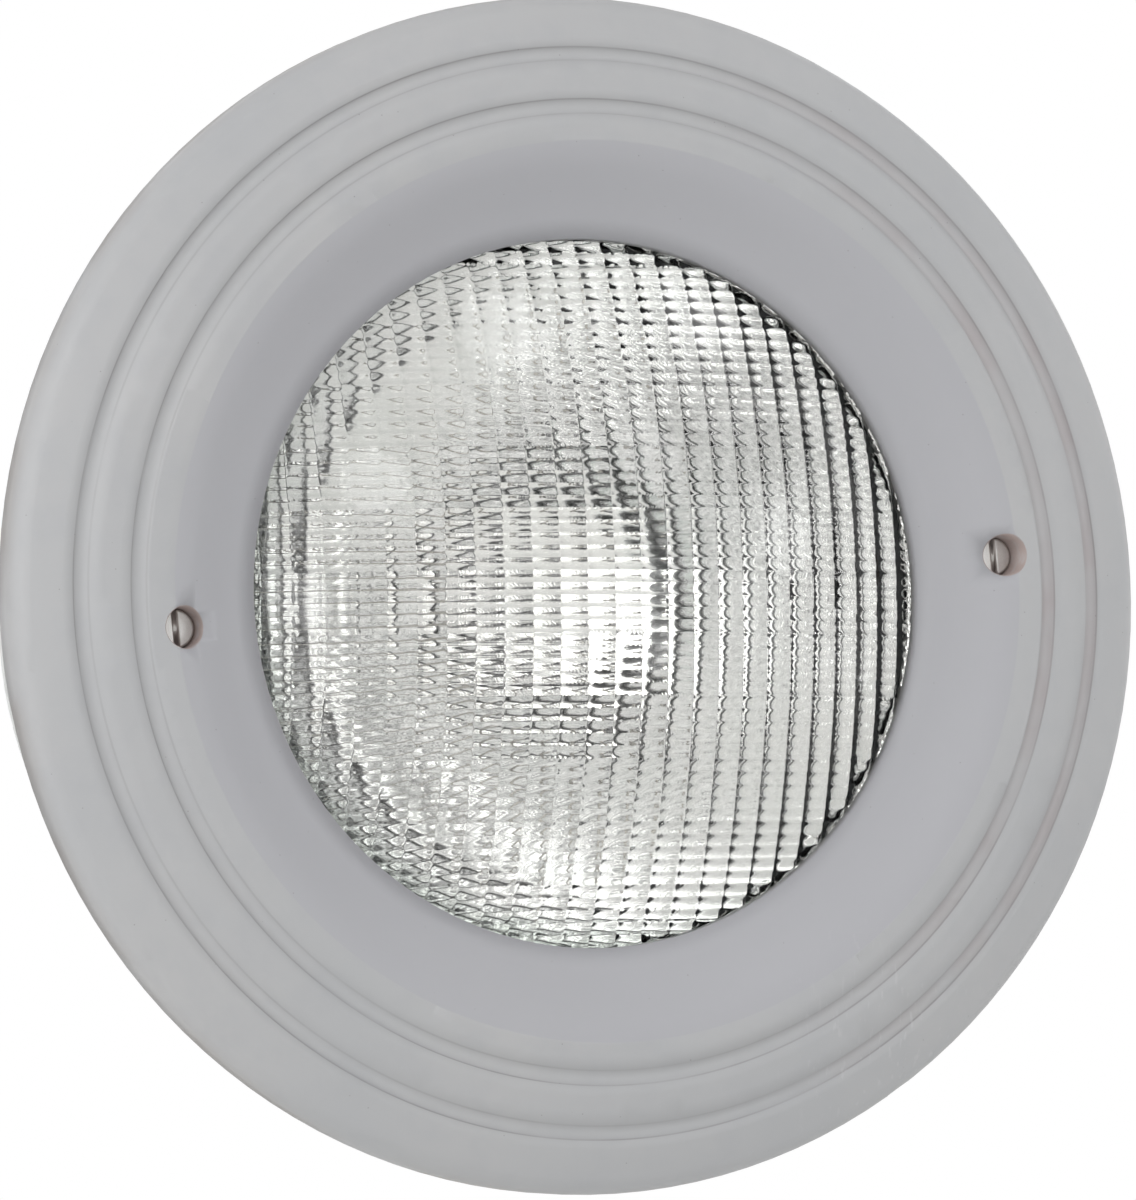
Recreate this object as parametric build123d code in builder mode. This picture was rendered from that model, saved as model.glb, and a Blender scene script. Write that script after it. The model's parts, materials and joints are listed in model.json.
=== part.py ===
"""Wall-mounted underwater pool light with a 7 in sealed-beam lamp, in millimetres.

The lamp's axis lies along Y and the light faces -Y. Y = 0 is the wall, and +Z is up.
Revolved profiles are drawn in the XY plane as (radius, depth) and turned about the Y axis.
"""

from build123d import *
from math import cos, radians, sin, sqrt
import os

# Face ring
ring_radius = 137.6
ring_wall = 3.0
crest_radius = 102.9  # where the domed face meets the inner cone
crest_y = -20.7
crest_slope = 6.0  # degrees, the dome's slope at the crest
dome_arc_radius = 100.0
rim_round = 6.6
cone_foot = (86.0, -12.4)
lip_edge = (81.4, -11.2)
lip_round = 0.7
cone_back = (88.0, -10.0)
grooves = ((121.8, 125.0), (109.2, 112.6))  # inner and outer radius of each
groove_depth = 0.4
groove_flank = 0.15
rib_count = 12
rib_width = 2.0
rib_back_y = -4.3

# Face screws and their wells
screw_circle = 100.6  # radius to each screw's axis
well_radius = 4.8
well_floor_y = -9.0
well_floor = 3.0
well_back_radius = 5.6
well_post_radius = 8.0
well_post_y = -1.0
screw_radius = 2.5
screw_clearance = 0.3
screw_end_y = 26.0
screw_head_radius = 4.3
screw_head_height = 3.4
slot_width = 1.3
slot_depth = 1.5
retainer_radius = 4.2
retainer_y = 7.0
retainer_thickness = 1.6

# Sealed-beam lamp
lens_apex_y = -29.0
lens_edge_radius = 85.0
lens_edge_y = -4.0
lens_thickness = 4.0
lens_inner_radius = 83.6
lamp_radius = 88.9
lamp_rim_back_y = 7.0
bowl_mouth_radius = 81.0
bowl_mouth_y = 4.0
bowl_vertex_y = 75.0
bowl_wall = 3.5
lead_spacing = 13.0  # from the axis to each lead
lead_radius = 1.1
lead_arm_radius = 0.8
filament_length = 18.0
filament_radius = 1.6
ferrule_radius = 5.5
ferrule_height = 7.5
terminal_size = (9.0, 9.0, 9.0)

# Lamp gasket
gasket_wall = 3.0
gasket_radius = 92.5
gasket_lip_radius = 85.2
seat_wall = 2.4
seat_gap = 0.3
seat_back_y = 8.0

# Rear housing
housing_wall = 3.5
housing_flange_radius = 96.0
housing_flange = 3.5
housing_mouth_radius = 90.0
shoulder_radius = 74.0
shoulder_y = 83.0
shoulder_round = 8.0
tower_radius = 30.0
tower_back_y = 104.0
fixing_circle = 99.0
fixing_count = 6
fixing_start = 30.0
ear_radius = 5.8
fixing_post_radius = 4.6
fixing_radius = 1.95
fixing_hole = 2.05
fixing_tip_y = -4.0
fixing_head_radius = 3.8
fixing_head_height = 2.6
washer_radius = 4.6
washer_thickness = 1.0

# Niche
niche_depth = 132.0
niche_wall = 3.5
niche_mouth_radius = 112.0
niche_foot_radius = 96.0
flange_radius = 131.0
flange_thickness = 4.0
wall_hole_circle = 121.0
wall_hole_radius = 2.75
wall_hole_count = 4
lug_radius = 6.8
lug_front_y = 14.0
lug_back_y = 46.0
glue_gap = 0.1
insert_radius = 3.8
insert_length = 10.0
screw_pocket_y = 32.0
niche_rib_count = 12
niche_rib_width = 3.0
niche_rib_height = 5.0
niche_rib_start_y = 3.0
niche_rib_end_y = 88.0
base_round = 2.0

# Conduit entry on top of the niche, and the socket for a 32 mm conduit glued into it
entry_y = 105.0
entry_seat_z = 92.0
entry_seat = 8.0
entry_top_z = 108.0
entry_radius = 21.0
entry_hole_draft = 1.0  # degrees that the hole in the wall opens outwards
entry_bore = 16.0
socket_radius = 19.5
socket_bore = 16.1
socket_depth = 20.0
socket_top_z = 134.0
socket_collar = 3.0
socket_spigot = 7.0
socket_throat = 12.0

# Cable glands, measured along each gland's own axis from the wall that it sits on
gland_stem_radius = 9.9
gland_stem_gap = 0.15
gland_bore = 6.6
gland_hex = 24.0  # across flats
gland_ring_radius = 11.4
gland_ring_thickness = 1.6
gland_collar = 5.5
gland_neck_radius = 9.5
gland_neck = 11.7
seal_depth = 5.0
seal_radius = 8.1
seal_bore = 6.2
seal_length = 7.0
slip_radius = 9.1
slip_thickness = 1.2
nut_hex = 25.0
nut_gap = 0.3
nut_start = 2.7
nut_cap = 3.5
nut_bore = 7.0
housing_gland_z = -47.0
lock_nut_height = 4.0
housing_stem = 8.5
niche_stem = 10.0

os.makedirs("parts", exist_ok=True)


def save(piece, name):
    """Label a finished piece and write its STEP file."""
    piece.part.label = name
    export_step(piece.part, f"parts/{name}.step")


def across(y):
    """The plane across the lamp's axis at depth y, drawn in X and Z, its normal to the front."""
    return Plane.XZ.offset(-y)


def tube(inner, outer, front_y, back_y):
    """A revolved ring between two radii and two depths, for use inside a part."""
    with BuildSketch() as section:
        with Locations(((inner + outer) / 2, (front_y + back_y) / 2)):
            Rectangle(outer - inner, back_y - front_y)
    revolve(section.sketch, axis=Axis.Y)


# Centres and tangent points of the ring's two face arcs
dome_centre = (
    crest_radius - dome_arc_radius * sin(radians(crest_slope)),
    crest_y + dome_arc_radius * cos(radians(crest_slope)),
)
rim_centre_x = ring_radius - rim_round
rim_centre_y = dome_centre[1] - sqrt(
    (dome_arc_radius - rim_round) ** 2 - (rim_centre_x - dome_centre[0]) ** 2
)


def dome_y(radius, inset=0.0):
    """Depth of the ring's domed face, or of a surface inset behind it, at a radius."""
    return dome_centre[1] - sqrt((dome_arc_radius - inset) ** 2 - (radius - dome_centre[0]) ** 2)


def face_arcs(inset, crest):
    """The rim's side, its round and the dome, inset behind the outer face, up to a crest point."""
    side = ring_radius - inset
    arc = rim_round - inset
    reach = (rim_centre_x - dome_centre[0]) / (dome_arc_radius - rim_round)
    drop = sqrt(1 - reach**2)
    tangent = (rim_centre_x + arc * reach, rim_centre_y - arc * drop)
    middle_x = (tangent[0] + crest[0]) / 2
    Line((side, 0), (side, rim_centre_y))
    TangentArc((side, rim_centre_y), tangent, tangent=(0, -1))
    ThreePointArc(tangent, (middle_x, dome_y(middle_x, inset)), crest)


crest = (crest_radius, crest_y)
back_crest_radius = crest_radius + 0.9
back_crest = (back_crest_radius, dome_y(back_crest_radius, ring_wall))
skirt_back_y = lens_edge_y - gasket_wall
seat_radius = gasket_radius + seat_gap
clamp_y = lamp_rim_back_y + gasket_wall

# Face ring: revolved shell, lamp skirt and seat wall, ribs, screw wells and fixing posts
with BuildPart() as face_ring:
    with BuildSketch() as shell_section:
        with BuildLine():
            face_arcs(0, crest)
            Polyline(crest, cone_foot, lip_edge, (lip_edge[0], skirt_back_y))
            Polyline(
                (lip_edge[0], skirt_back_y),
                (cone_back[0], skirt_back_y),
                cone_back,
                back_crest,
            )
            face_arcs(ring_wall, back_crest)
            Line((ring_radius - ring_wall, 0), (ring_radius, 0))
        make_face()
    revolve(axis=Axis.Y)
    tube(seat_radius, seat_radius + seat_wall, crest_y + ring_wall + 1, seat_back_y)
    rib_length = ring_radius - ring_wall - seat_radius
    with BuildSketch(across(rib_back_y)):
        with PolarLocations(seat_radius + 0.5 + rib_length / 2, rib_count):
            Rectangle(rib_length, rib_width)
    extrude(amount=rib_back_y - crest_y)
    with BuildSketch(across(clamp_y)):
        with PolarLocations(fixing_circle, fixing_count, start_angle=fixing_start):
            Circle(fixing_post_radius)
    extrude(amount=clamp_y - crest_y)
    with BuildSketch(across(well_post_y)):
        with PolarLocations(screw_circle, 2):
            Circle(well_post_radius)
    extrude(amount=well_post_y - crest_y)
    # Trim everything that stands out of the ring's face
    with BuildSketch():
        with BuildLine():
            face_arcs(0, crest)
            Polyline(crest, cone_foot, lip_edge, (lip_edge[0], crest_y * 2))
            Polyline(
                (lip_edge[0], crest_y * 2), (ring_radius + 20, crest_y * 2), (ring_radius + 20, 0)
            )
            Line((ring_radius + 20, 0), (ring_radius, 0))
        make_face()
    revolve(axis=Axis.Y, mode=Mode.SUBTRACT)
    for inner, outer in grooves:
        with BuildSketch():
            with BuildLine():
                Polyline(
                    (outer, dome_y(outer) - 1),
                    (outer, dome_y(outer)),
                    (outer - groove_flank, dome_y(outer - groove_flank) + groove_depth),
                    (inner + groove_flank, dome_y(inner + groove_flank) + groove_depth),
                    (inner, dome_y(inner)),
                    (inner, dome_y(inner) - 1),
                    close=True,
                )
            make_face()
        revolve(axis=Axis.Y, mode=Mode.SUBTRACT)
    with BuildSketch(across(well_floor_y)):
        with PolarLocations(screw_circle, 2):
            Circle(well_radius)
    extrude(amount=well_floor_y - crest_y * 1.2, mode=Mode.SUBTRACT)
    with BuildSketch(across(well_floor_y + well_floor + 10)):
        with PolarLocations(screw_circle, 2):
            Circle(well_back_radius)
    extrude(amount=10, mode=Mode.SUBTRACT)
    with BuildSketch(across(well_floor_y + well_floor + 1)):
        with PolarLocations(screw_circle, 2):
            Circle(screw_radius + screw_clearance)
    extrude(amount=well_floor + 2, mode=Mode.SUBTRACT)
    with BuildSketch(across(clamp_y)):
        with PolarLocations(fixing_circle, fixing_count, start_angle=fixing_start):
            Circle(fixing_hole)
    extrude(amount=clamp_y - fixing_tip_y + 1, mode=Mode.SUBTRACT)
save(face_ring, "face_ring")

# Face screws: slotted cheese head, plain shank over the thread's outer diameter
for side, name in ((-1, "left"), (1, "right")):
    at = (side * screw_circle, 0)
    head_front_y = well_floor_y - screw_head_height
    with BuildPart() as face_screw:
        with BuildSketch(across(well_floor_y)):
            with Locations(at):
                Circle(screw_head_radius)
        extrude(amount=screw_head_height)
        with BuildSketch(across(screw_end_y)):
            with Locations(at):
                Circle(screw_radius)
        extrude(amount=screw_end_y - well_floor_y)
        head_edge = face_screw.edges().group_by(Axis.Y)[0]
        fillet(head_edge, radius=0.5)
        chamfer(face_screw.edges().group_by(Axis.Y)[-1], length=0.8)
        with BuildSketch(across(head_front_y + slot_depth)):
            with Locations(at):
                Rectangle(slot_width, 2 * screw_head_radius + 1)
        extrude(amount=slot_depth + 1, mode=Mode.SUBTRACT)
    save(face_screw, f"face_screw_{name}")

    with BuildPart() as screw_retainer:
        with BuildSketch(across(retainer_y + retainer_thickness)):
            with Locations(at):
                Circle(retainer_radius)
                Circle(screw_radius + screw_clearance, mode=Mode.SUBTRACT)
        extrude(amount=retainer_thickness)
    save(screw_retainer, f"screw_retainer_{name}")

# Lamp lens: a shallow glass dome with a flat rim
lens_rise = lens_edge_y - lens_apex_y
lens_sphere = (lens_edge_radius**2 + lens_rise**2) / (2 * lens_rise)


def lens_y(radius, inset=0.0):
    """Depth of the lens's outer dome, or of a surface inset behind it, at a radius."""
    return lens_apex_y + lens_sphere - sqrt((lens_sphere - inset) ** 2 - radius**2)


with BuildPart() as lamp_lens:
    with BuildSketch():
        with BuildLine():
            ThreePointArc(
                (0, lens_apex_y),
                (lens_edge_radius / 2, lens_y(lens_edge_radius / 2)),
                (lens_edge_radius, lens_edge_y),
            )
            Polyline(
                (lens_edge_radius, lens_edge_y),
                (lamp_radius, lens_edge_y),
                (lamp_radius, lens_edge_y + lens_thickness),
                (lens_inner_radius + 0.5, lens_edge_y + lens_thickness),
                (lens_inner_radius, lens_y(lens_inner_radius, lens_thickness)),
            )
            ThreePointArc(
                (lens_inner_radius, lens_y(lens_inner_radius, lens_thickness)),
                (lens_inner_radius / 2, lens_y(lens_inner_radius / 2, lens_thickness)),
                (0, lens_apex_y + lens_thickness),
            )
            Line((0, lens_apex_y + lens_thickness), (0, lens_apex_y))
        make_face()
    revolve(axis=Axis.Y)
save(lamp_lens, "lamp_lens")

# Lamp reflector: a parabolic glass bowl, each side of its wall one quadratic curve
bowl_rim_y = lens_edge_y + lens_thickness
bowl_back_y = bowl_vertex_y + bowl_wall
bowl_flat = 22.0
with BuildPart() as lamp_reflector:
    with BuildSketch():
        with BuildLine():
            Bezier(
                (bowl_mouth_radius, bowl_mouth_y),
                (bowl_mouth_radius / 2, bowl_vertex_y),
                (0, bowl_vertex_y),
            )
            Polyline((0, bowl_vertex_y), (0, bowl_back_y), (bowl_flat, bowl_back_y))
            Bezier(
                (bowl_flat, bowl_back_y),
                (bowl_mouth_radius / 2 + 14, bowl_vertex_y - 2),
                (bowl_mouth_radius + bowl_wall - 0.3, lamp_rim_back_y),
            )
            Polyline(
                (bowl_mouth_radius + bowl_wall - 0.3, lamp_rim_back_y),
                (lamp_radius, lamp_rim_back_y),
                (lamp_radius, bowl_rim_y),
                (bowl_mouth_radius, bowl_rim_y),
                (bowl_mouth_radius, bowl_mouth_y),
            )
        make_face()
    revolve(axis=Axis.Y)
    with BuildSketch(across(bowl_back_y + 1)):
        with PolarLocations(lead_spacing, 2):
            Circle(lead_radius + 0.1)
    extrude(amount=bowl_wall + 5, mode=Mode.SUBTRACT)
save(lamp_reflector, "lamp_reflector")

# Filament at the bowl's focus, carried between two leads
focus_y = bowl_vertex_y - bowl_mouth_radius**2 / (4 * (bowl_vertex_y - bowl_mouth_y))
with BuildPart() as filament:
    with BuildSketch(Plane.YZ.offset(-filament_length / 2)):
        with Locations((focus_y, 0)):
            Circle(filament_radius)
            Circle(filament_radius - 0.5, mode=Mode.SUBTRACT)
    extrude(amount=filament_length)
save(filament, "filament")

with BuildPart() as filament_posts:
    with BuildSketch(across(bowl_back_y)):
        with PolarLocations(lead_spacing, 2):
            Circle(lead_radius)
    extrude(amount=bowl_back_y - focus_y + 2 * lead_radius)
    for side in (-1, 1):
        with BuildSketch(Plane.YZ.offset(side * filament_length / 2)):
            with Locations((focus_y, 0)):
                Circle(lead_arm_radius)
        extrude(amount=side * (lead_spacing - filament_length / 2))
save(filament_posts, "filament_posts")

with BuildPart() as lamp_ferrules:
    with BuildSketch(across(bowl_back_y + ferrule_height)):
        with PolarLocations(lead_spacing, 2):
            Circle(ferrule_radius)
    extrude(amount=ferrule_height)
save(lamp_ferrules, "lamp_ferrules")

terminal_front_y = bowl_back_y + ferrule_height
terminal_middle_y = terminal_front_y + terminal_size[1] / 2
terminal_hole = 1.7
with BuildPart() as lamp_terminals:
    with BuildSketch(across(terminal_front_y + terminal_size[1])):
        with PolarLocations(lead_spacing, 2):
            Rectangle(terminal_size[0], terminal_size[2])
    extrude(amount=terminal_size[1])
    fillet(lamp_terminals.edges().filter_by(Axis.Y), radius=1)
    with BuildSketch(Plane.XY):
        with Locations((-lead_spacing, terminal_middle_y), (lead_spacing, terminal_middle_y)):
            Circle(terminal_hole)
    extrude(amount=terminal_size[2], both=True, mode=Mode.SUBTRACT)
save(lamp_terminals, "lamp_terminals")

with BuildPart() as terminal_screws:
    spots = ((-lead_spacing, terminal_middle_y), (lead_spacing, terminal_middle_y))
    with BuildSketch(Plane.XY.offset(terminal_size[2] / 2)):
        with Locations(*spots):
            Circle(3.2)
    extrude(amount=2)
    with BuildSketch(Plane.XY.offset(-terminal_size[2] / 2 - 1)):
        with Locations(*spots):
            Circle(terminal_hole - 0.1)
    extrude(amount=terminal_size[2] + 1)
    with BuildSketch(Plane.XY.offset(terminal_size[2] / 2 + 1)):
        with Locations(*spots):
            Rectangle(0.9, 8)
    extrude(amount=2, mode=Mode.SUBTRACT)
save(terminal_screws, "terminal_screws")

# Lamp gasket: a U-section round the lamp's rim
with BuildPart() as lamp_gasket:
    tube(gasket_lip_radius, gasket_radius, lens_edge_y - gasket_wall, lens_edge_y)
    tube(lamp_radius, gasket_radius, lens_edge_y, lamp_rim_back_y)
    tube(bowl_mouth_radius + bowl_wall, gasket_radius, lamp_rim_back_y, clamp_y)
save(lamp_gasket, "lamp_gasket")

# Rear housing: a bowl with a flat shoulder for the gland and a tower over the lamp's terminals
flange_back_y = clamp_y + housing_flange


def housing_profile(inset, front_y):
    """The housing's outer line from its mouth to its axis, inset towards the inside."""
    mouth = housing_mouth_radius - inset
    shoulder = shoulder_radius - inset
    tower = tower_radius - inset
    FilletPolyline(
        (mouth, front_y),
        (mouth, flange_back_y + 4),
        (shoulder, shoulder_y - inset),
        (tower, shoulder_y - inset),
        (tower - 1.5, tower_back_y - inset),
        (0, tower_back_y - inset),
        radius=(20.0, shoulder_round - inset, 2.0, 3.0 + (inset == 0) * 2),
    )


with BuildPart() as rear_housing:
    with BuildSketch():
        with BuildLine():
            housing_profile(0, clamp_y)
            Polyline((0, tower_back_y), (0, clamp_y), (housing_mouth_radius, clamp_y))
        make_face()
    revolve(axis=Axis.Y)
    tube(housing_mouth_radius - 1, housing_flange_radius, clamp_y, flange_back_y)
    with BuildSketch(across(flange_back_y)):
        with PolarLocations(fixing_circle, fixing_count, start_angle=fixing_start):
            Circle(ear_radius)
    extrude(amount=housing_flange)
    with BuildSketch():
        with BuildLine():
            housing_profile(housing_wall, clamp_y - 1)
            Polyline(
                (0, tower_back_y - housing_wall),
                (0, clamp_y - 1),
                (housing_mouth_radius - housing_wall, clamp_y - 1),
            )
        make_face()
    revolve(axis=Axis.Y, mode=Mode.SUBTRACT)
    with BuildSketch(across(flange_back_y + 1)):
        with PolarLocations(fixing_circle, fixing_count, start_angle=fixing_start):
            Circle(fixing_hole + 0.2)
        with PolarLocations(screw_circle, 2):
            Circle(lug_radius + 1)
    extrude(amount=housing_flange + 2, mode=Mode.SUBTRACT)
    with BuildSketch(across(shoulder_y + 1)):
        with Locations((0, housing_gland_z)):
            Circle(gland_stem_radius + gland_stem_gap)
    extrude(amount=housing_wall + 2, mode=Mode.SUBTRACT)
save(rear_housing, "rear_housing")

with BuildPart() as housing_washers:
    with BuildSketch(across(flange_back_y + washer_thickness)):
        with PolarLocations(fixing_circle, fixing_count, start_angle=fixing_start):
            Circle(washer_radius)
            Circle(fixing_hole, mode=Mode.SUBTRACT)
    extrude(amount=washer_thickness)
save(housing_washers, "housing_washers")

with BuildPart() as housing_screws:
    head_y = flange_back_y + washer_thickness
    with BuildSketch(across(head_y + fixing_head_height)):
        with PolarLocations(fixing_circle, fixing_count, start_angle=fixing_start):
            Circle(fixing_head_radius)
    extrude(amount=fixing_head_height)
    fillet(housing_screws.edges().group_by(Axis.Y)[-1], radius=1.2)
    with BuildSketch(across(head_y)):
        with PolarLocations(fixing_circle, fixing_count, start_angle=fixing_start):
            Circle(fixing_radius)
    extrude(amount=head_y - fixing_tip_y)
    with BuildSketch(across(head_y + fixing_head_height)):
        with PolarLocations(fixing_circle, fixing_count, start_angle=fixing_start):
            Rectangle(4.4, 0.9)
            Rectangle(0.9, 4.4)
    extrude(amount=1.4, mode=Mode.SUBTRACT)
save(housing_screws, "housing_screws")

# Cable glands: each is drawn on its own plane, whose normal is the gland's outward axis
collar_height = gland_ring_thickness + gland_collar
neck_end = collar_height + gland_neck
seal_start = neck_end - seal_depth
seal_end = seal_start + seal_length
slip_end = seal_end + slip_thickness
nut_end = slip_end + nut_cap
nut_low = collar_height + nut_start


def disc(plane, low, high, outer, inner=0.0, mode=Mode.ADD):
    """A round disc or ring along a gland's axis, for use inside a part."""
    with BuildSketch(plane.offset(low)) as section:
        Circle(outer)
        if inner:
            Circle(inner, mode=Mode.SUBTRACT)
    extrude(section.sketch, amount=high - low, mode=mode)


def hexagon(plane, low, high, across_flats, mode=Mode.ADD):
    """A hexagonal prism along a gland's axis, for use inside a part."""
    with BuildSketch(plane.offset(low)) as section:
        RegularPolygon(across_flats / 2, 6, major_radius=False)
    extrude(section.sketch, amount=high - low, mode=mode)


def make_gland(prefix, plane, stem):
    """Body, O-ring, cable seal, slip ring and cap nut of one cable gland."""
    with BuildPart() as body:
        disc(plane, -stem, gland_ring_thickness, gland_stem_radius)
        hexagon(plane, gland_ring_thickness, collar_height, gland_hex)
        disc(plane, collar_height, neck_end, gland_neck_radius)
        disc(plane, -stem - 1, neck_end + 1, gland_bore, mode=Mode.SUBTRACT)
        disc(plane, seal_start, neck_end + 1, seal_radius + 0.1, mode=Mode.SUBTRACT)
    save(body, f"{prefix}_gland_body")

    with BuildPart() as o_ring:
        disc(plane, 0, gland_ring_thickness, gland_ring_radius, gland_stem_radius + 0.1)
        fillet(o_ring.edges(), radius=0.4)
    save(o_ring, f"{prefix}_gland_o_ring")

    with BuildPart() as seal:
        disc(plane, seal_start, seal_end, seal_radius, seal_bore)
    save(seal, f"{prefix}_gland_seal")

    with BuildPart() as slip_ring:
        disc(plane, seal_end + 0.2, slip_end, slip_radius, nut_bore)
    save(slip_ring, f"{prefix}_gland_slip_ring")

    with BuildPart() as nut:
        hexagon(plane, nut_low, nut_end - 2, nut_hex)
        disc(plane, nut_end - 2, nut_end, nut_hex / 2 - 1)
        disc(plane, nut_low - 1, slip_end + 0.1, gland_neck_radius + nut_gap, mode=Mode.SUBTRACT)
        disc(plane, slip_end, nut_end + 1, nut_bore, mode=Mode.SUBTRACT)
    save(nut, f"{prefix}_gland_nut")


housing_gland_plane = Plane(
    origin=(0, shoulder_y, housing_gland_z), x_dir=(1, 0, 0), z_dir=(0, 1, 0)
)
make_gland("housing", housing_gland_plane, housing_stem)

with BuildPart() as gland_lock_nut:
    lock_low = -housing_wall - lock_nut_height
    hexagon(housing_gland_plane, lock_low, -housing_wall, gland_hex)
    disc(
        housing_gland_plane,
        lock_low - 1,
        1 - housing_wall,
        gland_stem_radius + 0.1,
        mode=Mode.SUBTRACT,
    )
save(gland_lock_nut, "housing_gland_lock_nut")

# Niche: a tapered wall with outside ribs, a flange on the pool's wall, a base and a conduit entry
niche_back_y = niche_depth - niche_wall
niche_taper = (niche_mouth_radius - niche_foot_radius) / niche_depth


def niche_outer(y):
    """Outer radius of the niche's wall at a depth."""
    return niche_mouth_radius + niche_wall - niche_taper * y


def niche_inside(inset, mode):
    """The tapered space inside the niche's wall, for use inside a part."""
    mouth = niche_mouth_radius - inset
    foot = niche_mouth_radius - niche_taper * niche_back_y - inset
    with BuildSketch() as section:
        with BuildLine():
            Polyline(
                (0, -flange_thickness),
                (mouth, -flange_thickness),
                (mouth, 0),
                (foot, niche_back_y),
                (0, niche_back_y),
                close=True,
            )
        make_face()
    revolve(section.sketch, axis=Axis.Y, mode=mode)


entry_plane = Plane(origin=(0, entry_y, 0), x_dir=(1, 0, 0), z_dir=(0, 0, 1))
niche_gland_plane = Plane(origin=(0, entry_y, entry_seat_z), x_dir=(1, 0, 0), z_dir=(0, 0, -1))
with BuildPart() as niche_shell:
    with BuildSketch():
        with BuildLine():
            Polyline(
                (0, -flange_thickness),
                (niche_outer(0), -flange_thickness),
                (niche_outer(0), 0),
                (niche_outer(niche_back_y), niche_back_y),
                (0, niche_back_y),
                close=True,
            )
        make_face()
    revolve(axis=Axis.Y)
    for step in range(niche_rib_count):
        turn = step * 360 / niche_rib_count
        with BuildSketch(Plane.XY.rotated((0, turn, 0))):
            with BuildLine():
                Polyline(
                    (niche_outer(niche_rib_start_y) - 1, niche_rib_start_y),
                    (niche_outer(0) + niche_rib_height, niche_rib_start_y),
                    (niche_outer(niche_rib_end_y) + niche_rib_height, niche_rib_end_y),
                    (niche_outer(niche_rib_end_y) - 1, niche_rib_end_y + niche_rib_height),
                    close=True,
                )
            make_face()
        extrude(amount=niche_rib_width / 2, both=True)
    niche_inside(0, Mode.SUBTRACT)
    with BuildSketch(entry_plane):
        Circle(entry_radius + glue_gap)
    extrude(amount=socket_top_z, taper=-entry_hole_draft, mode=Mode.SUBTRACT)
save(niche_shell, "niche_shell")

with BuildPart() as niche_flange:
    tube(niche_outer(0) + glue_gap, flange_radius, -flange_thickness, 0)
    fillet(niche_flange.edges().group_by(Axis.Y)[0].sort_by(SortBy.LENGTH)[-1], radius=1)
    with BuildSketch(across(1)):
        with PolarLocations(wall_hole_circle, wall_hole_count, start_angle=45):
            Circle(wall_hole_radius)
    extrude(amount=flange_thickness + 2, mode=Mode.SUBTRACT)
save(niche_flange, "niche_flange")

with BuildPart() as niche_base:
    with BuildSketch(across(niche_depth)):
        Circle(niche_outer(niche_back_y))
    extrude(amount=niche_wall)
    fillet(niche_base.edges().group_by(Axis.Y)[-1], radius=base_round)
save(niche_base, "niche_base")

# Lugs that the face screws' inserts sit in, each shaped to the wall that it is glued to
with BuildPart() as screw_lugs:
    with BuildSketch(across(lug_back_y)):
        for side in (-1, 1):
            with Locations((side * screw_circle, 0)):
                Circle(lug_radius)
            with Locations((side * (screw_circle + lug_radius), 0)):
                Rectangle(2 * lug_radius, 2 * lug_radius)
    extrude(amount=lug_back_y - lug_front_y)
    niche_inside(glue_gap, Mode.INTERSECT)
    with BuildSketch(across(screw_pocket_y)):
        with PolarLocations(screw_circle, 2):
            Circle(screw_radius + screw_clearance)
    extrude(amount=screw_pocket_y - lug_front_y + 1, mode=Mode.SUBTRACT)
    with BuildSketch(across(lug_front_y + insert_length)):
        with PolarLocations(screw_circle, 2):
            Circle(insert_radius)
    extrude(amount=insert_length + 1, mode=Mode.SUBTRACT)
save(screw_lugs, "screw_lugs")

with BuildPart() as conduit_entry:
    disc(entry_plane, entry_seat_z, entry_top_z, entry_radius)
    disc(entry_plane, entry_seat_z + entry_seat, entry_top_z + 1, entry_bore, mode=Mode.SUBTRACT)
    disc(
        entry_plane,
        entry_seat_z - 1,
        entry_top_z,
        gland_stem_radius + gland_stem_gap,
        mode=Mode.SUBTRACT,
    )
save(conduit_entry, "conduit_entry")

with BuildPart() as conduit_socket:
    disc(entry_plane, entry_top_z - socket_spigot, entry_top_z, entry_bore - 0.1)
    disc(entry_plane, entry_top_z, entry_top_z + socket_collar, entry_radius)
    disc(entry_plane, entry_top_z + socket_collar, socket_top_z, socket_radius)
    disc(entry_plane, entry_top_z - 20, socket_top_z, socket_throat, mode=Mode.SUBTRACT)
    disc(
        entry_plane,
        socket_top_z - socket_depth,
        socket_top_z + 1,
        socket_bore,
        mode=Mode.SUBTRACT,
    )
save(conduit_socket, "conduit_socket")

with BuildPart() as screw_inserts:
    with BuildSketch(across(lug_front_y + insert_length)):
        with PolarLocations(screw_circle, 2):
            Circle(insert_radius - 0.05)
            Circle(screw_radius + screw_clearance, mode=Mode.SUBTRACT)
    extrude(amount=insert_length)
save(screw_inserts, "screw_inserts")

make_gland("niche", niche_gland_plane, niche_stem)
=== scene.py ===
import json
from functools import partial
from math import cos, radians, sin, tau

import bmesh
import bpy
import numpy as np
from mathutils import Matrix, Vector


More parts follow.
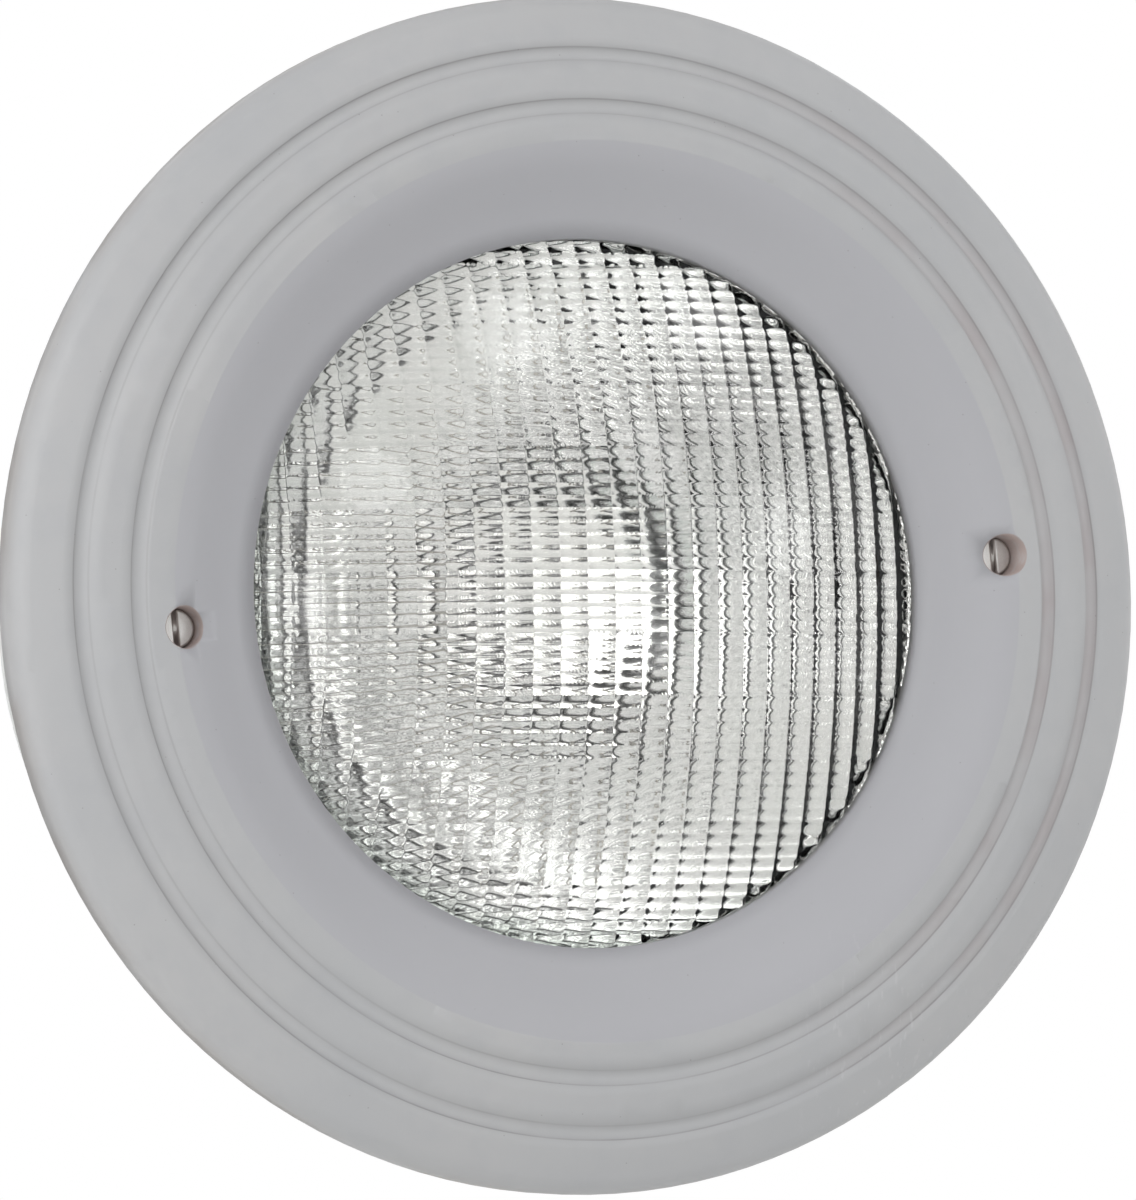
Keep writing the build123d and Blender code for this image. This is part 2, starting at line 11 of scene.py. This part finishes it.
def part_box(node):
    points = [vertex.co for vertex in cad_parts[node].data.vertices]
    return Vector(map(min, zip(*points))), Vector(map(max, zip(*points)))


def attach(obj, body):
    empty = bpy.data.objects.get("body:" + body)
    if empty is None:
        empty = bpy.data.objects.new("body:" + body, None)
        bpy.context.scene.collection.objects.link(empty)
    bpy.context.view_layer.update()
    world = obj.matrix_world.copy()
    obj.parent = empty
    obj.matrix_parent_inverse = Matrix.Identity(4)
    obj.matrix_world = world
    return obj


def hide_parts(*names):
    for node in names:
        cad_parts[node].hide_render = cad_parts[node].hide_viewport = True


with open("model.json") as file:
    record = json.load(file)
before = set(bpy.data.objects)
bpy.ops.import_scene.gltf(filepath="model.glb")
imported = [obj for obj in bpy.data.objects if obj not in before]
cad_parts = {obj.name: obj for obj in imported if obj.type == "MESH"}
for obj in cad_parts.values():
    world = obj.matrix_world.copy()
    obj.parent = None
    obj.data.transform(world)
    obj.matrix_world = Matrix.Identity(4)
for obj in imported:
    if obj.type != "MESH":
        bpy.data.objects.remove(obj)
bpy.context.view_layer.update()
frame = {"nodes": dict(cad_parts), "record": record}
mm = 0.001

# The photograph's view: the lamp's front turned to the right of the camera and slightly up
view_azimuth = radians(20.73)
view_elevation = radians(3.25)
view_roll = radians(4.73)
view_distance = 1.625
view_shift = (6.9 * mm, 2.0 * mm)  # where the aim point stands beside the picture's centre
view_aim = Vector((0, -15.3 * mm, 0))
view_lens = 213.5

# Lens and reflector, as the CAD has them
lens_low, lens_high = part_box("lamp_lens")
lens_apex_y = lens_low.y
lens_rim_radius = lens_high.x
lens_rim_back_y = lens_high.y
lens_edge_radius = 85.0 * mm
lens_edge_y = -4.0 * mm
lens_inner_radius = 83.6 * mm
lens_rise = lens_edge_y - lens_apex_y
lens_sphere = (lens_edge_radius**2 + lens_rise**2) / (2 * lens_rise)
lens_thickness = 4.0 * mm

# The relief on the lens's inner face, which the CAD leaves smooth
flute_pitch = 6.42 * mm
flute_height = 0.68 * mm
flute_end_radius = 82.6 * mm
row_pitch = 14.1 * mm
row_height = 0.35 * mm
row_start = 4.3 * mm
beads_per_row = 5
bead_height = 0.36 * mm
lens_turns = 1080

reflector_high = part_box("lamp_reflector")[1]
bowl_mouth_radius = 81.0 * mm
bowl_mouth_y = 4.0 * mm
bowl_wall = 3.5 * mm
bowl_back_y = reflector_high.y
bowl_vertex_y = bowl_back_y - bowl_wall
bowl_flat = 22.0 * mm
reflector_turns = 360

# Where the ring gets painted shade (its darker inner cone and its grooves), and the face screws'
# drawn threads
cone_edge_radius = 103 * mm
ring_grooves = ((109.2, 112.6), (121.8, 125.0))  # inner and outer radius, in mm
screw_x = 100.6 * mm
well_tint_radius = 5.0 * mm
thread_pitch = 0.8 * mm
thread_turns = 18
thread_radius = 2.52 * mm
thread_wire = (0.28 * mm, 0.2 * mm)
thread_end_y = 24.6 * mm

# Filament
filament_wire = 0.3 * mm
filament_turns = 16

# Bright panes in the room: azimuth, elevation and half width in degrees, and strength
window_panes = (
    (-108, 16, 9, 1.8),
    (-84, -6, 8, 2.0),
    (-62, 36, 9, 2.0),
    (-48, -20, 7, 2.0),
    (-34, 4, 5, 2.2),
    (-20, 24, 6, 2.2),
    (-8, -32, 7, 2.0),
    (14, 48, 8, 2.2),
    (26, -8, 5, 2.2),
    (32, 22, 6, 2.2),
    (46, -30, 7, 2.0),
    (56, 6, 6, 2.4),
    (62, 40, 8, 2.2),
    (78, -16, 7, 2.4),
    (84, 18, 7, 2.4),
    (104, 2, 8, 2.2),
)


def add_node(tree, kind, inputs=None, output=0, **settings):
    """A shader node with its inputs set or linked, returned as one of its outputs."""
    node = tree.nodes.new(kind)
    for name, value in settings.items():
        setattr(node, name, value)
    for name, value in (inputs or {}).items():
        if isinstance(value, bpy.types.NodeSocket):
            tree.links.new(value, node.inputs[name])
        else:
            node.inputs[name].default_value = value
    return node.outputs[output]


class Surface:
    """A procedural material under construction, drawn in the object's own metres."""

    def __init__(self, name, color, roughness, **sockets):
        self.material = bpy.data.materials.new(name)
        self.material.use_nodes = True
        self.tree = self.material.node_tree
        self.shader = self.tree.nodes["Principled BSDF"]
        self.shader.inputs["Base Color"].default_value = (*color, 1)
        self.shader.inputs["Roughness"].default_value = roughness
        for name, value in sockets.items():
            self.shader.inputs[name.replace("_", " ")].default_value = value
        self.color = color
        self.roughness = roughness
        self.height = None
        self.place = self.add("ShaderNodeTexCoord", output="Object")

    def add(self, kind, inputs=None, output=0, **settings):
        """A node of this material, returned as one of its outputs."""
        return add_node(self.tree, kind, inputs, output, **settings)

    def stretched(self, factors):
        """The place with each of its axes multiplied by a factor."""
        inputs = {0: self.place, 1: factors}
        return self.add("ShaderNodeVectorMath", inputs, operation="MULTIPLY")

    def noise(self, size, detail=2.0, rough=0.5, stretch=(1, 1, 1)):
        """Noise with features of about that size in metres, from 0 to 1."""
        place = self.place if stretch == (1, 1, 1) else self.stretched(stretch)
        inputs = {"Vector": place, "Scale": 1 / size, "Detail": detail, "Roughness": rough}
        return self.add("ShaderNodeTexNoise", inputs)

    def specks(self, size, share):
        """1 in small round specks that far apart, 0 between them."""
        inputs = {"Vector": self.place, "Scale": 1 / size, "Randomness": 1.0}
        near = self.add("ShaderNodeTexVoronoi", inputs)
        return self.remap(near, share, share * 0.5, 0, 1)

    def remap(self, value, low, high, to_low=0.0, to_high=1.0):
        """The value carried from one range onto another, and held at its ends."""
        inputs = {0: value, 1: low, 2: high, 3: to_low, 4: to_high}
        return self.add("ShaderNodeMapRange", inputs)

    def plus(self, a, b):
        return self.add("ShaderNodeMath", {0: a, 1: b}, operation="ADD")

    def times(self, a, b):
        return self.add("ShaderNodeMath", {0: a, 1: b}, operation="MULTIPLY")

    def axis(self, name):
        return self.add("ShaderNodeSeparateXYZ", {0: self.place}, output=name)

    def radius(self):
        """Distance from the lamp's axis."""
        inputs = {0: self.stretched((1, 0, 1))}
        return self.add("ShaderNodeVectorMath", inputs, output=1, operation="LENGTH")

    def distance(self, x, z):
        """Distance from a line along the lamp's axis."""
        inputs = {0: self.stretched((1, 0, 1)), 1: (x, 0, z)}
        return self.add("ShaderNodeVectorMath", inputs, output=1, operation="DISTANCE")

    def band(self, value, low, high, soft):
        """1 where value lies between low and high, fading over soft."""
        rise = self.remap(value, low - soft, low)
        fall = self.remap(value, high, high + soft, 1, 0)
        return self.times(rise, fall)

    def tint(self, mask, color):
        """Blend the colour so far towards another one where the mask is 1."""
        inputs = {0: mask, 6: self.color_value(), 7: (*color, 1)}
        self.color = self.add("ShaderNodeMix", inputs, output=2, data_type="RGBA")

    def color_value(self):
        """The colour so far, as a socket or as numbers."""
        return self.color if isinstance(self.color, bpy.types.NodeSocket) else (*self.color, 1)

    def roughen(self, value, amount):
        """Vary the roughness by up to amount either way."""
        spread = self.remap(value, 0.25, 0.75, -amount, amount)
        self.roughness = self.plus(spread, self.roughness)

    def raise_by(self, value, depth):
        """Add value times depth, in metres, to the surface's fine relief."""
        scaled = self.times(value, depth)
        self.height = scaled if self.height is None else self.plus(self.height, scaled)

    def done(self):
        """The finished material, with what was built linked to its shader."""
        if isinstance(self.color, bpy.types.NodeSocket):
            self.tree.links.new(self.color, self.shader.inputs["Base Color"])
        if isinstance(self.roughness, bpy.types.NodeSocket):
            self.tree.links.new(self.roughness, self.shader.inputs["Roughness"])
        if self.height is not None:
            inputs = {"Height": self.height, "Distance": 1.0, "Strength": 1.0}
            normal = self.add("ShaderNodeBump", inputs)
            self.tree.links.new(normal, self.shader.inputs["Normal"])
        return self.material


def ring_plastic():
    """Light grey satin plastic with painted shade in its inner cone, in and along its grooves and
    towards its back, dust specks, scuffs and stained screw wells.
    """
    s = Surface("ring_plastic", (0.40, 0.405, 0.415), 0.42)
    s.tint(s.remap(s.noise(60 * mm, 3), 0.35, 0.7), (0.425, 0.425, 0.43))
    s.tint(s.remap(s.noise(9 * mm, 4, 0.6), 0.45, 0.75, 0, 0.5), (0.38, 0.385, 0.40))
    radius = s.radius()
    y = s.axis("Y")
    # Painted shade: the inner cone, inside the cone edge, made slightly darker and bluer
    s.tint(s.times(s.remap(radius, cone_edge_radius, 102.8 * mm), 0.8), (0.385, 0.385, 0.41))
    for inner, outer in ring_grooves:
        # Painted shadow: a brownish shade in each groove, on the right-hand side only, broken up
        # by noise
        groove_band = s.band(radius, inner * mm, outer * mm, 0.3 * mm)
        right = s.times(groove_band, s.remap(s.axis("X"), 30 * mm, 100 * mm))
        s.tint(s.times(right, s.remap(s.noise(14 * mm), 0.2, 0.7)), (0.37, 0.345, 0.35))
        # Painted shade: thin dark lines along each groove's edges, stronger at the outer edge,
        # broken up by noise
        for edge, strength in ((outer, 0.55), (inner, 0.25)):
            line = s.band(radius, (edge - 0.12) * mm, (edge + 0.12) * mm, 0.08 * mm)
            groove_edge_shade = s.times(line, s.remap(s.noise(30 * mm, 3), 0.3, 0.6, 0.35, 1))
            s.tint(s.times(groove_edge_shade, strength), (0.22, 0.215, 0.215))
    # Painted shade: the ring turns darker and brownish towards its back, from y = -10 mm on,
    # broken up by noise
    back_shade = s.times(s.remap(y, -10 * mm, -3 * mm), s.remap(s.noise(25 * mm), 0.3, 0.6))
    s.tint(s.times(back_shade, 0.5), (0.26, 0.225, 0.20))
    for side in (-1, 1):
        near = s.distance(side * screw_x, 0)
        inside = s.remap(near, well_tint_radius, 4.85 * mm)
        well = s.times(inside, s.remap(s.noise(3 * mm), 0.1, 0.5))
        s.tint(well, (0.38, 0.31, 0.29))
    s.tint(s.times(s.specks(4.5 * mm, 0.045), 0.6), (0.20, 0.19, 0.19))
    corner = s.distance(60 * mm, -110 * mm)
    lines = s.remap(s.noise(1.2 * mm, 2, 0.5, (1, 1, 0.12)), 0.62, 0.70)
    scuff = s.times(lines, s.remap(corner, 34 * mm, 10 * mm))
    s.tint(s.times(scuff, 0.35), (0.50, 0.50, 0.51))
    s.roughen(s.noise(7 * mm, 4), 0.05)
    s.raise_by(s.noise(0.25 * mm, 2), 0.004 * mm)
    s.raise_by(s.noise(18 * mm, 1), 0.03 * mm)
    return s.done()


def moulded_plastic(name, color, roughness=0.45, grain=0.3 * mm):
    """Moulded plastic with faint flow marks, dust and a fine grain."""
    s = Surface(name, color, roughness)
    s.tint(s.remap(s.noise(45 * mm, 3), 0.35, 0.7), [c * 1.08 for c in color])
    s.tint(s.remap(s.noise(6 * mm, 4, 0.65), 0.5, 0.8, 0, 0.6), [c * 0.85 for c in color])
    s.tint(s.times(s.specks(5 * mm, 0.05), 0.5), [c * 0.5 for c in color])
    s.roughen(s.noise(8 * mm, 4), 0.07)
    s.raise_by(s.noise(grain, 2), 0.008 * mm)
    return s.done()


def rubber(name, color):
    """Soft rubber or silicone with a dusty bloom."""
    s = Surface(name, color, 0.6)
    s.tint(s.remap(s.noise(5 * mm, 5, 0.65), 0.45, 0.75, 0, 0.7), [c * 1.7 + 0.01 for c in color])
    s.roughen(s.noise(3 * mm, 3), 0.12)
    s.raise_by(s.noise(0.4 * mm, 3), 0.01 * mm)
    return s.done()


def metal(name, color, roughness, stretch=(1, 1, 1), wear=(0.4, 0.36, 0.32)):
    """Bare or plated metal with fine tool marks and a few stains."""
    s = Surface(name, color, roughness, Metallic=1.0)
    s.tint(s.remap(s.noise(4 * mm, 5, 0.6), 0.55, 0.8, 0, 0.6), wear)
    s.tint(s.remap(s.noise(0.3 * mm, 2, 0.5, stretch), 0.4, 0.7, 0, 0.3), [c * 0.8 for c in color])
    s.roughen(s.noise(0.5 * mm, 3, 0.5, stretch), 0.08)
    s.raise_by(s.noise(0.2 * mm, 2, 0.5, stretch), 0.003 * mm)
    return s.done()


def lens_glass():
    """Pressed glass with stippled lenslets, with painted shade making it darker and greener
    towards its lower left edge.
    """
    s = Surface("lens_glass", (0.99, 0.985, 0.965), 0.0, IOR=1.5, Transmission_Weight=1.0)
    s.tint(s.remap(s.noise(30 * mm, 3), 0.4, 0.7), (0.975, 0.98, 0.955))
    # Painted shade: the glass tinted dark green near its rim, on the lower left side only
    leftward = s.times(s.axis("X"), -0.8)
    lower_left = s.plus(leftward, s.times(s.axis("Z"), -0.6))
    side = s.remap(lower_left, 10 * mm, 60 * mm)
    wander = s.times(s.noise(9 * mm, 3), 8 * mm)
    edge = s.remap(s.plus(s.radius(), wander), 77 * mm, 85 * mm)
    s.tint(s.times(edge, side), (0.70, 0.745, 0.70))
    inputs = {"Vector": s.place, "Scale": 1 / (1.9 * mm), "Randomness": 0.8}
    stipple = s.add("ShaderNodeTexVoronoi", inputs, feature="SMOOTH_F1")
    s.raise_by(stipple, 0.03 * mm)
    return s.done()


def mirror():
    """Vacuum-coated aluminium on glass, with slow waves and a little haze."""
    s = Surface("reflector_mirror", (0.90, 0.905, 0.91), 0.05, Metallic=1.0)
    s.tint(s.remap(s.noise(20 * mm, 4), 0.5, 0.8, 0, 0.5), (0.84, 0.85, 0.84))
    s.roughen(s.noise(10 * mm, 3), 0.03)
    s.raise_by(s.noise(6 * mm, 2), 0.03 * mm)
    return s.done()


materials = {
    "ring_plastic": ring_plastic(),
    "lens_glass": lens_glass(),
    "reflector_mirror": mirror(),
    "gasket_silicone": rubber("gasket_silicone", (0.16, 0.17, 0.17)),
    "housing_plastic": moulded_plastic("housing_plastic", (0.30, 0.31, 0.32)),
    "niche_plastic": moulded_plastic("niche_plastic", (0.62, 0.63, 0.62)),
    "stainless": metal("stainless", (0.80, 0.79, 0.77), 0.42, wear=(0.55, 0.50, 0.46)),
    "brass": metal("brass", (0.72, 0.55, 0.28), 0.28, wear=(0.40, 0.24, 0.10)),
    "nickel": metal("nickel", (0.66, 0.64, 0.60), 0.22),
    "tungsten": metal("tungsten", (0.25, 0.25, 0.26), 0.4),
    "gland_plastic": moulded_plastic("gland_plastic", (0.035, 0.035, 0.038), 0.38),
    "gland_rubber": rubber("gland_rubber", (0.025, 0.025, 0.025)),
    "nylon": moulded_plastic("nylon", (0.72, 0.70, 0.64), 0.4),
}


def dress_cad():
    """Give each CAD node its slot's material and smooth shading."""
    for part in frame["record"]["subparts"]:
        node = frame["nodes"][part["node"]]
        node.data.materials.clear()
        node.data.materials.append(materials[part["material_slot"]])
        weld = node.modifiers.new("weld", "WELD")
        weld.merge_threshold = 0.002 * mm
        smooth(node.data)


def smooth(mesh):
    """Smooth shading on a mesh, with edges above 30 degrees kept sharp."""
    mesh.polygons.foreach_set("use_smooth", [True] * len(mesh.polygons))
    mesh.set_sharp_from_angle(angle=radians(30))


def piece(name, points, faces, body, slot_name, replaced=()):
    """A mesh of the script's own, riding on a body in its slot's material."""
    mesh = bpy.data.meshes.new(name)
    mesh.from_pydata(points, [], faces)
    mesh.validate()
    work = bmesh.new()
    work.from_mesh(mesh)
    bmesh.ops.recalc_face_normals(work, faces=work.faces)
    work.to_mesh(mesh)
    work.free()
    smooth(mesh)
    obj = bpy.data.objects.new(name, mesh)
    bpy.context.scene.collection.objects.link(obj)
    mesh.materials.append(materials[slot_name])
    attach(obj, body)
    if replaced:
        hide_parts(*replaced)


def tube_faces(rows, columns):
    """Faces of a grid that closes on itself across its columns, with a cap at each end."""
    row, column = np.mgrid[0 : rows - 1, 0:columns]
    here = row * columns + column
    side = row * columns + (column + 1) % columns
    quads = np.stack([here, side, side + columns, here + columns], -1)
    first_cap = list(range(columns))[::-1]
    last_cap = list(range((rows - 1) * columns, rows * columns))
    return quads.reshape(-1, 4).tolist() + [first_cap, last_cap]


def revolved(radii, depths, turns):
    """Points of a profile turned about the lamp's axis; depths may vary round each circle."""
    angle = np.arange(turns) * tau / turns
    radii = np.asarray(radii, float)[:, None]
    x = radii * np.cos(angle)
    z = radii * np.sin(angle)
    y = np.broadcast_to(np.asarray(depths, float).reshape(len(radii), -1), x.shape)
    return np.stack([x, y, z], -1)


def dome_y(radius, inset):
    """Depth of the lens's outer sphere, or of one inset behind it, at a radius."""
    return lens_apex_y + lens_sphere - np.sqrt((lens_sphere - inset) ** 2 - radius**2)


def lens():
    """The lamp's glass: a smooth dome outside, upright flutes crossed by rows inside."""
    turns = lens_turns
    angle = np.arange(turns) * tau / turns
    outer = np.linspace(0.05 * mm, lens_edge_radius, 70)
    outside = revolved(outer, dome_y(outer, 0)[:, None], turns)
    rim = [
        (lens_rim_radius - 0.3 * mm, lens_edge_y),
        (lens_rim_radius, lens_edge_y + 0.3 * mm),
        (lens_rim_radius, lens_rim_back_y - 0.3 * mm),
        (lens_rim_radius - 0.3 * mm, lens_rim_back_y),
        (lens_inner_radius + 0.5 * mm, lens_rim_back_y),
    ]
    rim_points = revolved([r for r, y in rim], [[y] for r, y in rim], turns)
    inner = np.linspace(lens_inner_radius, 0.05 * mm, 215)
    x = inner[:, None] * np.cos(angle)
    z = inner[:, None] * np.sin(angle)
    across = (x * cos(view_roll) - z * sin(view_roll)) / flute_pitch
    along = (x * sin(view_roll) + z * cos(view_roll) - row_start) / row_pitch
    flute = 1 - (2 * (across % 1) - 1) ** 2
    row = 1 - (2 * (along % 1) - 1) ** 2
    bead = 1 - (2 * (along * beads_per_row % 1) - 1) ** 2
    fade = np.clip((flute_end_radius - inner[:, None]) / (1.5 * mm), 0, 1)
    relief = (flute_height * flute + row_height * row + bead_height * bead) * fade
    inset = lens_thickness + relief - flute_height / 2
    inside = revolved(inner, dome_y(inner[:, None], inset), turns)
    points = np.concatenate([outside, rim_points, inside]).reshape(-1, 3)
    rows = len(outer) + len(rim) + len(inner)
    faces = tube_faces(rows, turns)
    piece("lens", points.tolist(), faces, "light_unit", "lens_glass", ["lamp_lens"])


def quadratic(start, middle, end, count):
    """Points along a quadratic Bezier curve."""
    t = np.linspace(0, 1, count)[:, None]
    a, b, c = (np.array(p) for p in (start, middle, end))
    return (1 - t) ** 2 * a + 2 * t * (1 - t) * b + t**2 * c


def reflector():
    """The lamp's bowl, aluminised inside, on the CAD's own curves."""
    turns = reflector_turns
    inside = quadratic(
        (bowl_mouth_radius, bowl_mouth_y),
        (bowl_mouth_radius / 2, bowl_vertex_y),
        (0.05 * mm, bowl_vertex_y),
        160,
    )[::-1]
    edge = np.array([
        (bowl_mouth_radius, lens_rim_back_y + 0.2 * mm),
        (bowl_mouth_radius + 0.2 * mm, lens_rim_back_y + 0.02 * mm),
        (reflector_high.x - 0.4 * mm, lens_rim_back_y + 0.02 * mm),
        (reflector_high.x, lens_rim_back_y + 0.4 * mm),
        (reflector_high.x, 6.6 * mm),
        (reflector_high.x - 0.4 * mm, 7.0 * mm),
        (bowl_mouth_radius + bowl_wall, 7.0 * mm),
    ])
    outside = quadratic(
        (bowl_mouth_radius + bowl_wall - 0.3 * mm, 7.05 * mm),
        (bowl_mouth_radius / 2 + 14 * mm, bowl_vertex_y - 2 * mm),
        (bowl_flat, bowl_back_y),
        90,
    )
    profile = np.concatenate([inside, edge, outside, [(0.05 * mm, bowl_back_y)]])
    points = revolved(profile[:, 0], profile[:, 1:], turns).reshape(-1, 3)
    faces = tube_faces(len(profile), turns)
    replaced = ["lamp_reflector"]
    piece("reflector", points.tolist(), faces, "light_unit", "reflector_mirror", replaced)


def coil(start, step, turns, radius, wire, sides=8, per_turn=24):
    """Points and faces of a wire wound along an axis from start, capped at both ends."""
    start, step = np.array(start), np.array(step)
    along = step / np.linalg.norm(step)
    first = np.cross(along, (0.0, 0.3, 1.0))
    first /= np.linalg.norm(first)
    second = np.cross(along, first)
    t = np.arange(turns * per_turn + 1)[:, None] / per_turn
    out = first * np.cos(tau * t) + second * np.sin(tau * t)
    middle = start + step * t + out * radius
    phase = np.arange(sides) * tau / sides
    width, height = wire
    ring = out[:, None] * np.cos(phase)[:, None] * height + along * np.sin(phase)[:, None] * width
    points = (middle[:, None] + ring).reshape(-1, 3)
    return points.tolist(), tube_faces(len(t), sides)


def filament():
    """The lamp's wound tungsten coil."""
    low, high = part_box("filament")
    wire = filament_wire
    radius = (high.z - low.z) / 2 - wire
    turns = filament_turns
    middle = (low + high) / 2
    start = (low.x + 2 * wire, middle.y, middle.z)
    step = ((high.x - low.x - 4 * wire) / turns, 0, 0)
    points, faces = coil(start, step, turns, radius, (wire, wire))
    piece("filament_coil", points, faces, "light_unit", "tungsten", ["filament"])


def screw_thread(side, x):
    """The thread on the inner end of a face screw."""
    start = (x, thread_end_y - thread_turns * thread_pitch, 0)
    step = (0, thread_pitch, 0)
    points, faces = coil(start, step, thread_turns, thread_radius, thread_wire, 6, 28)
    piece(f"thread_{side}", points, faces, f"screw_{side}", "stainless")


def camera():
    """A camera where the photograph's stood."""
    front = Vector((
        sin(view_azimuth) * cos(view_elevation),
        sin(view_elevation),
        cos(view_azimuth) * cos(view_elevation),
    ))
    side = Vector((0, 1, 0)).cross(front).normalized()
    up = front.cross(side)
    row_x = side * cos(view_roll) + up * sin(view_roll)
    row_z = up * cos(view_roll) - side * sin(view_roll)
    turn = Matrix((row_x, -front, row_z))
    data = bpy.data.cameras.new("camera")
    data.lens = view_lens
    data.sensor_width = 36
    data.clip_start = 0.1
    cam = bpy.data.objects.new("camera", data)
    bpy.context.scene.collection.objects.link(cam)
    aim = Vector((*view_shift, -view_distance))
    cam.matrix_world = Matrix.Translation(view_aim) @ turn.to_4x4() @ Matrix.Translation(-aim)
    bpy.context.scene.camera = cam


def soft_light(name, place, size, power):
    """A rectangular light that faces the lamp."""
    data = bpy.data.lights.new(name, "AREA")
    data.shape = "RECTANGLE"
    data.size, data.size_y = size
    data.energy = power
    light = bpy.data.objects.new(name, data)
    light.location = place
    light.rotation_euler = (-Vector(place)).to_track_quat("-Z", "Y").to_euler()
    bpy.context.scene.collection.objects.link(light)


def studio():
    """A pale floor, soft lights and a white room with bright panes and dim patches to reflect."""
    mesh = bpy.data.meshes.new("floor")
    half, low = 2.0, -0.5
    corners = [(-half, -half, low), (half, -half, low), (half, half, low), (-half, half, low)]
    mesh.from_pydata(corners, [], [(0, 1, 2, 3)])
    floor = bpy.data.objects.new("floor", mesh)
    bpy.context.scene.collection.objects.link(floor)
    s = Surface("floor", (0.80, 0.80, 0.79), 0.7)
    s.tint(s.remap(s.noise(0.4, 3), 0.3, 0.7), (0.83, 0.83, 0.82))
    mesh.materials.append(s.done())

    world = bpy.data.worlds.new("room")
    bpy.context.scene.world = world
    world.use_nodes = True
    tree = world.node_tree
    tree.nodes.clear()
    add = partial(add_node, tree)

    direction = add("ShaderNodeTexCoord", output="Generated")
    swirl = add("ShaderNodeTexNoise", {"Vector": direction, "Scale": 5.0, "Detail": 2.0})
    patches = add("ShaderNodeMapRange", {0: swirl, 1: 0.43, 2: 0.54, 3: 0.25, 4: 1.10})
    for azimuth, elevation, width, strength in window_panes:
        turn, rise = radians(azimuth), radians(elevation)
        pane = (cos(rise) * sin(turn), -cos(rise) * cos(turn), sin(rise))
        inputs = {0: direction, 1: pane}
        near = add("ShaderNodeVectorMath", inputs, output=1, operation="DOT_PRODUCT")
        wide = radians(width)
        inputs = {0: near, 1: cos(wide), 2: cos(wide * 0.8), 3: 0.0, 4: strength}
        lit = add("ShaderNodeMapRange", inputs)
        patches = add("ShaderNodeMath", {0: patches, 1: lit}, operation="ADD")
    seen = add("ShaderNodeLightPath", output="Is Camera Ray")
    strength = add("ShaderNodeMix", {0: seen, 2: patches, 3: 1.0}, data_type="FLOAT")
    glow = add("ShaderNodeBackground", {"Color": (1, 1, 1, 1), "Strength": strength})
    out = tree.nodes.new("ShaderNodeOutputWorld")
    tree.links.new(glow, out.inputs["Surface"])

    soft_light("key", (-3.1, -1.5, 1.3), (3.0, 3.0), 46)
    soft_light("fill", (1.6, -1.6, -0.2), (1.6, 1.6), 5)
    bpy.context.scene.view_settings.view_transform = "Standard"


dress_cad()
lens()
reflector()
filament()
screw_thread("left", -screw_x)
screw_thread("right", screw_x)
camera()
studio()
